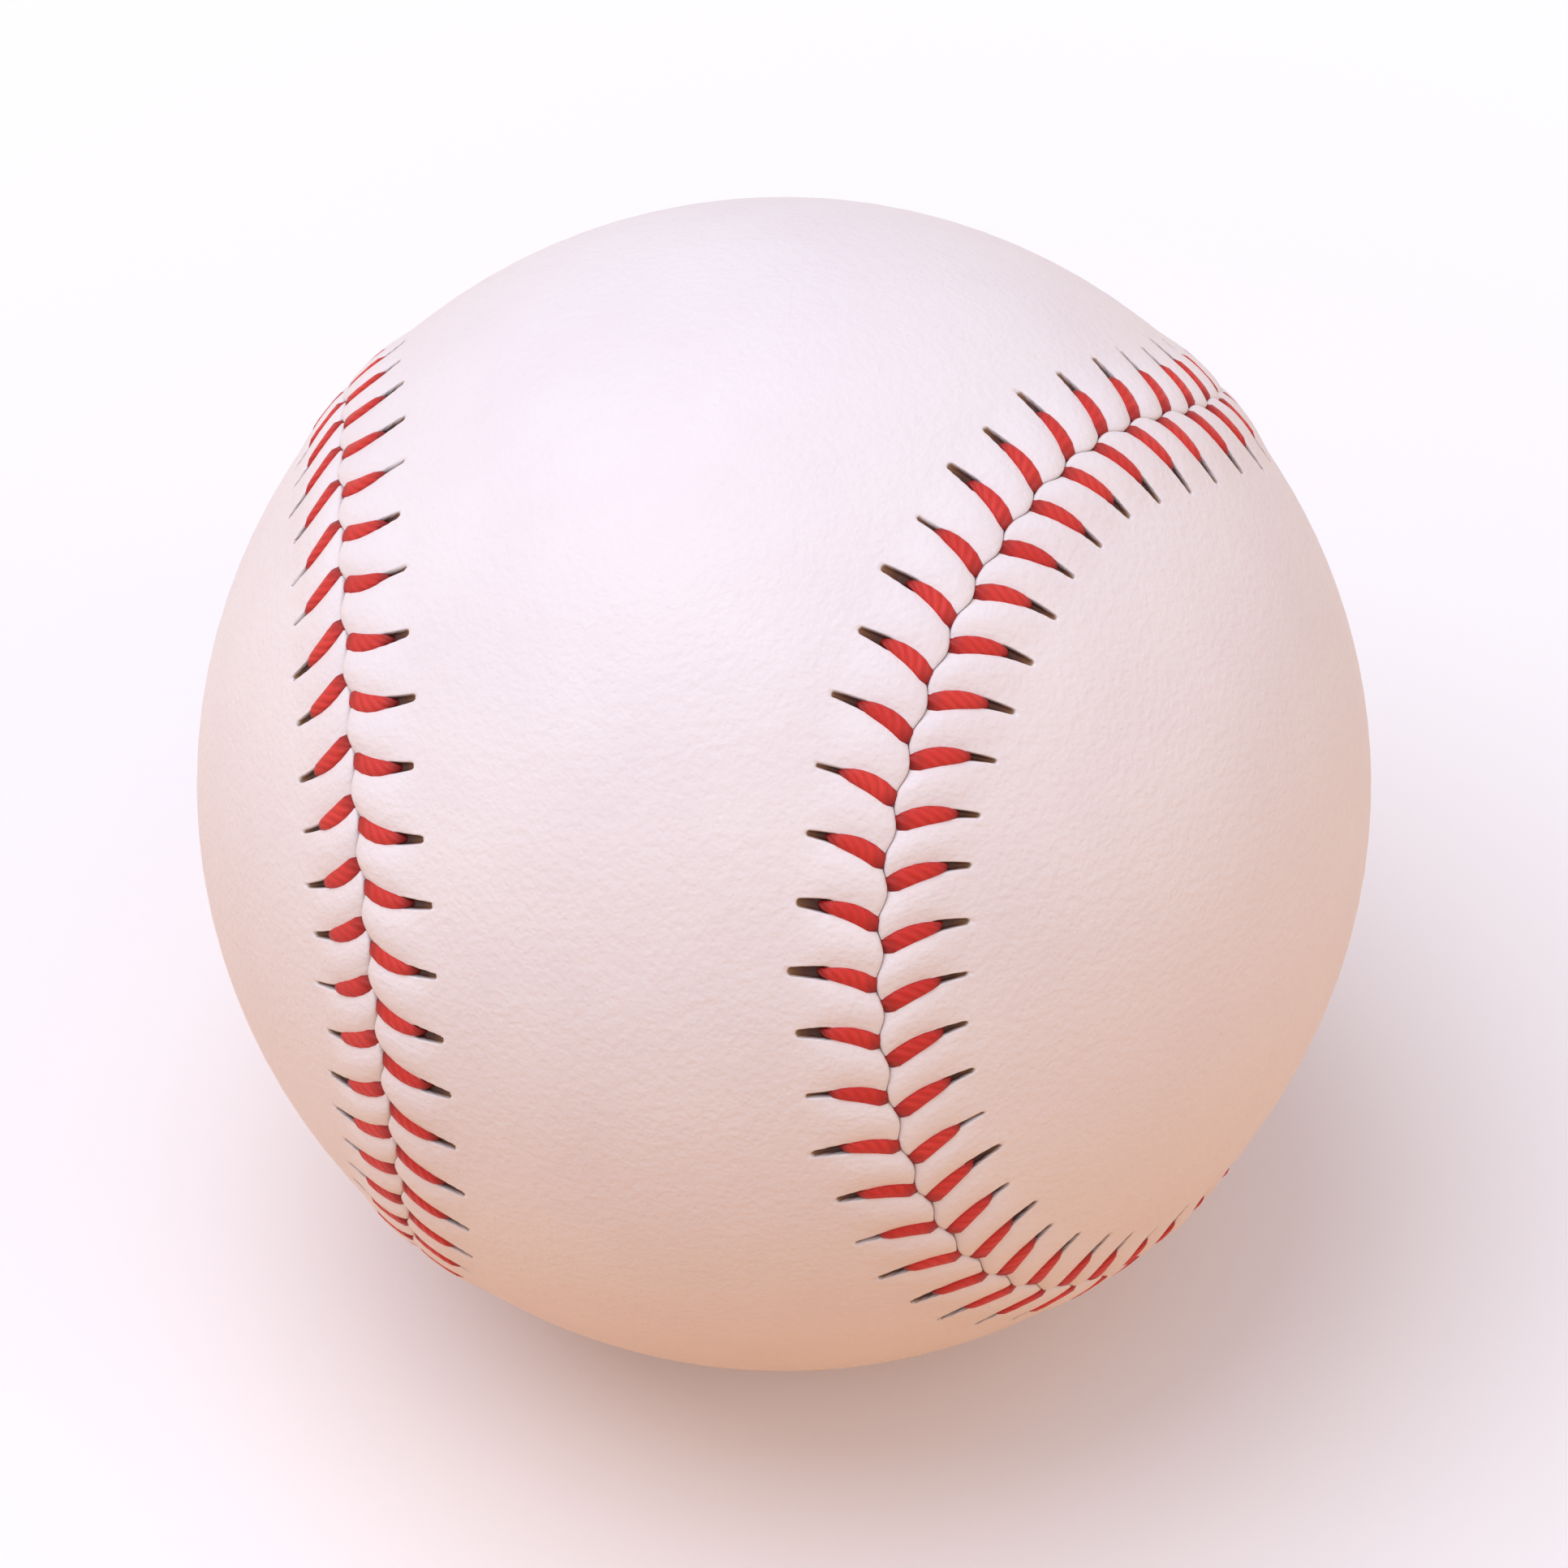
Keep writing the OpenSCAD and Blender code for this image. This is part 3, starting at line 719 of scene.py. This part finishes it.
# Fine fibres run along each ply
ply_parts = add(tree, "ShaderNodeSeparateXYZ", links={"Vector": plies.outputs["Vector"]})
over_ply = add(tree, "ShaderNodeMath", links={0: ply_parts.outputs["X"], 1: ply_parts.outputs["Y"]},
               operation="ADD")
ply_place = add(tree, "ShaderNodeCombineXYZ",
                links={"X": over_ply.outputs["Value"], "Y": ply_parts.outputs["Y"]})
ply_way = add(tree, "ShaderNodeMapping", {"Scale": (9.0, 1.2, 1.0)},
              {"Vector": ply_place.outputs["Vector"]})
fibres = add(tree, "ShaderNodeTexNoise", {"Scale": 1.0, "Detail": 3.0},
             {"Vector": ply_way.outputs["Vector"]})
dye = add(tree, "ShaderNodeAttribute", attribute_name="tint", attribute_type="GEOMETRY")
reds = add(tree, "ShaderNodeValToRGB", links={"Fac": dye.outputs["Fac"]})
colour_steps(reds, [(0.0, "#D62E26"), (1.0, "#E43C32")])
height = add(tree, "ShaderNodeMath", {1: 0.7}, {0: fibres.outputs["Fac"], 2: twist.outputs["Fac"]},
             operation="MULTIPLY_ADD")
ply_shade_mix = add(tree, "ShaderNodeMapRange", {"From Min": 0.2, "From Max": 0.8},
            {"Value": height.outputs["Value"]})
# Painted shade: the red is darker where the plies' relief is low
plies_shaded = add(tree, "ShaderNodeMix", {6: linear("#C82E26")},
            {0: ply_shade_mix.outputs["Result"], 7: reds.outputs["Color"]}, data_type="RGBA")
# Painted shade darkens the thread where it is tucked into the seam and into its hole
tucked_shade = add(tree, "ShaderNodeAttribute", attribute_name="tucked_shade", attribute_type="GEOMETRY")
tucked_shaded = add(tree, "ShaderNodeMix", {7: linear("#841713")},
             {0: tucked_shade.outputs["Fac"], 6: plies_shaded.outputs[2]}, data_type="RGBA")
tree.links.new(tucked_shaded.outputs[2], shader.inputs["Base Color"])
relief = add(tree, "ShaderNodeBump", {"Strength": 0.8, "Distance": 0.0001},
             {"Height": height.outputs["Value"]})
tree.links.new(relief.outputs["Normal"], shader.inputs["Normal"])

# The lacing tree sets a leg on each dive point, swings it towards its hole and stretches it by a
# few hundredths, then makes the legs real
lacing = bpy.data.node_groups.new("lacing", "GeometryNodeTree")
lacing.interface.new_socket("Dives", in_out="INPUT", socket_type="NodeSocketGeometry")
sockets = {}
for name, kind in (("First panel's leg", "NodeSocketObject"), ("Second panel's leg", "NodeSocketObject"),
                   ("Length spread", "NodeSocketFloat"), ("Thread", "NodeSocketMaterial")):
    socket = lacing.interface.new_socket(name, in_out="INPUT", socket_type=kind)
    sockets[name] = socket.identifier
lacing.interface.new_socket("Stitches", in_out="OUTPUT", socket_type="NodeSocketGeometry")
given = add(lacing, "NodeGroupInput")
named = {}
for label, kind in (("outward", "FLOAT_VECTOR"), ("inward", "FLOAT_VECTOR"), ("swing", "FLOAT"),
                    ("on_second", "FLOAT")):
    attribute = add(lacing, "GeometryNodeInputNamedAttribute", {"Name": label}, data_type=kind)
    named[label] = attribute.outputs["Attribute"]
facing = add(lacing, "FunctionNodeAxesToRotation", links={"Primary Axis": named["outward"],
                                                          "Secondary Axis": named["inward"]},
             primary_axis="Z", secondary_axis="Y")
least = add(lacing, "ShaderNodeMath", {0: 1.0}, {1: given.outputs["Length spread"]}, operation="SUBTRACT")
most = add(lacing, "ShaderNodeMath", {0: 1.0}, {1: given.outputs["Length spread"]}, operation="ADD")
stretch = add(lacing, "FunctionNodeRandomValue", {"Seed": 12},
              {2: least.outputs["Value"], 3: most.outputs["Value"]}, data_type="FLOAT")
joined = add(lacing, "GeometryNodeJoinGeometry")
for label, hand, second in (("First panel's leg", 1.0, 0.0), ("Second panel's leg", -1.0, 1.0)):
    here = add(lacing, "FunctionNodeCompare", {1: second}, {0: named["on_second"]}, data_type="FLOAT",
               operation="EQUAL")
    turned = add(lacing, "ShaderNodeMath", {1: hand}, {0: named["swing"]}, operation="MULTIPLY")
    about_up = add(lacing, "FunctionNodeAxisAngleToRotation", {"Axis": (0, 0, 1)},
                   {"Angle": turned.outputs["Value"]})
    swung = add(lacing, "FunctionNodeRotateRotation", links={"Rotation": facing.outputs["Rotation"],
                                                             "Rotate By": about_up.outputs["Rotation"]},
                rotation_space="LOCAL")
    leg = add(lacing, "GeometryNodeObjectInfo", links={"Object": given.outputs[label]})
    size = add(lacing, "ShaderNodeCombineXYZ", {"X": 1.0, "Z": 1.0}, {"Y": stretch.outputs[1]})
    laid = add(lacing, "GeometryNodeInstanceOnPoints",
               links={"Points": given.outputs["Dives"], "Selection": here.outputs["Result"],
                      "Instance": leg.outputs["Geometry"], "Rotation": swung.outputs["Rotation"],
                      "Scale": size.outputs["Vector"]})
    lacing.links.new(laid.outputs["Instances"], joined.inputs["Geometry"])
real = add(lacing, "GeometryNodeRealizeInstances", links={"Geometry": joined.outputs["Geometry"]})
finished = add(lacing, "GeometryNodeSetMaterial", links={"Geometry": real.outputs["Geometry"],
                                                         "Material": given.outputs["Thread"]})
add(lacing, "NodeGroupOutput", links={"Stitches": finished.outputs["Geometry"]})

# Legs on the first panel lean the other way from those on the second
leg_first = thread_leg("leg_on_first_panel", -1, 0)
leg_second = thread_leg("leg_on_second_panel", 1, 1)

for run, piece_name, cad_node in ((0, "stitches_run_a", "thread_run_a"),
                                  (1, "stitches_run_b", "thread_run_b")):
    dives = dive_points(piece_name + "_dives", run)
    modifier = dives.modifiers.new("lacing", "NODES")
    modifier.node_group = lacing
    modifier[sockets["First panel's leg"]] = leg_first
    modifier[sockets["Second panel's leg"]] = leg_second
    modifier[sockets["Length spread"]] = 0.02
    modifier[sockets["Thread"]] = thread_finish
    laced = bpy.data.meshes.new_from_object(dives.evaluated_get(bpy.context.evaluated_depsgraph_get()))
    bpy.data.objects.remove(dives)
    piece = bpy.data.objects.new(piece_name, laced)
    bpy.context.scene.collection.objects.link(piece)
    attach(piece, "root")
    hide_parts(cad_node)
for leg in (leg_first, leg_second):
    bpy.data.objects.remove(leg)

# Table and light. The ball lies on a plain pale table under a broad soft lamp, slightly lilac,
# and the warm table throws light back up on its underside.

table_reach = 3.0
fade_start, fade_end = 0.05, 0.17


def seen_itself(tree):
    """1 for what the eye, a gloss or a glass sees, and 0 for light on its way to the ball."""
    path = add(tree, "ShaderNodeLightPath")
    seen = path.outputs["Is Camera Ray"]
    for way in ("Is Glossy Ray", "Is Transmission Ray"):
        either = add(tree, "ShaderNodeMath", links={0: seen, 1: path.outputs[way]}, operation="MAXIMUM")
        seen = either.outputs["Value"]
    return seen


mesh = bpy.data.meshes.new("table")
low = cad_box[0].z
corners = [(-table_reach, -table_reach, low), (table_reach, -table_reach, low),
           (table_reach, table_reach, low), (-table_reach, table_reach, low)]
mesh.from_pydata(corners, [], [(0, 1, 2, 3)])
table = bpy.data.objects.new("table", mesh)
bpy.context.scene.collection.objects.link(table)
table_top, tree, shader = finish_named("pale table top", 0.9)
seen = seen_itself(tree)
top_colour = add(tree, "ShaderNodeMix", {6: linear("#DE9A40"), 7: linear("#FFFFFF")}, {0: seen},
                 data_type="RGBA")
tree.links.new(top_colour.outputs[2], shader.inputs["Base Color"])
# Away from the ball the table fades into a white that needs no light
on_table = add(tree, "ShaderNodeTexCoord").outputs["Object"]
outward = add(tree, "ShaderNodeVectorMath", links={0: on_table}, operation="LENGTH")
faded = add(tree, "ShaderNodeMapRange", {"From Min": fade_start, "From Max": fade_end},
            {"Value": outward.outputs["Value"]}, interpolation_type="SMOOTHSTEP")
white = add(tree, "ShaderNodeMath", links={0: faded.outputs["Result"], 1: seen}, operation="MULTIPLY")
plain = add(tree, "ShaderNodeEmission")
blend = add(tree, "ShaderNodeMixShader", links={0: white.outputs["Value"], 1: shader.outputs["BSDF"],
                                                2: plain.outputs["Emission"]})
tree.links.new(blend.outputs["Shader"], tree.nodes["Material Output"].inputs["Surface"])
table.data.materials.append(table_top)

# The room gives a weak lilac light and is itself seen as plain white
world = bpy.data.worlds.new("room")
bpy.context.scene.world = world
world.use_nodes = True
room = world.node_tree
backdrop = room.nodes["Background"]
seen = seen_itself(room)
air = add(room, "ShaderNodeMix", {6: linear("#EDEAF8"), 7: linear("#FFFFFF")}, {0: seen},
          data_type="RGBA")
strength = add(room, "ShaderNodeMapRange", {"To Min": 0.62, "To Max": 1.0}, {"Value": seen})
room.links.new(air.outputs[2], backdrop.inputs["Color"])
room.links.new(strength.outputs["Result"], backdrop.inputs["Strength"])

# Each lamp: where it stands and its width in metres, its power in watts and its colour
for name, place, size, power, colour in (("soft box", (-0.26, 0.0, 0.72), 0.8, 3.45, "#F8F4FF"),
                                         ("warm fill", (0.55, -0.3, 0.28), 0.4, 0.8, "#FFE2C4"),
                                         ("cool fill", (-0.6, -0.2, 0.2), 0.4, 0.45, "#F0FBFF")):
    lamp = bpy.data.lights.new(name, "AREA")
    lamp.shape, lamp.size, lamp.energy, lamp.color = "DISK", size, power, linear(colour)[:3]
    stand = bpy.data.objects.new(name, lamp)
    bpy.context.scene.collection.objects.link(stand)
    stand.location = place
    stand.rotation_mode = "QUATERNION"
    stand.rotation_quaternion = (-Vector(place)).to_track_quat("-Z", "Y")

# Camera. It looks down at the ball from 45 degrees and from far off, as the photograph does.

away = 0.541
elevation = math.radians(45)
lens = bpy.data.cameras.new("camera")
lens.lens = 198
lens.sensor_width = 36
lens.clip_start, lens.clip_end = 0.01, 20
camera = bpy.data.objects.new("camera", lens)
bpy.context.scene.collection.objects.link(camera)
camera.location = (0, -away * math.cos(elevation), away * math.sin(elevation))
camera.rotation_euler = (math.pi / 2 - elevation, 0, 0)
bpy.context.scene.camera = camera
bpy.context.scene.view_settings.view_transform = "Standard"
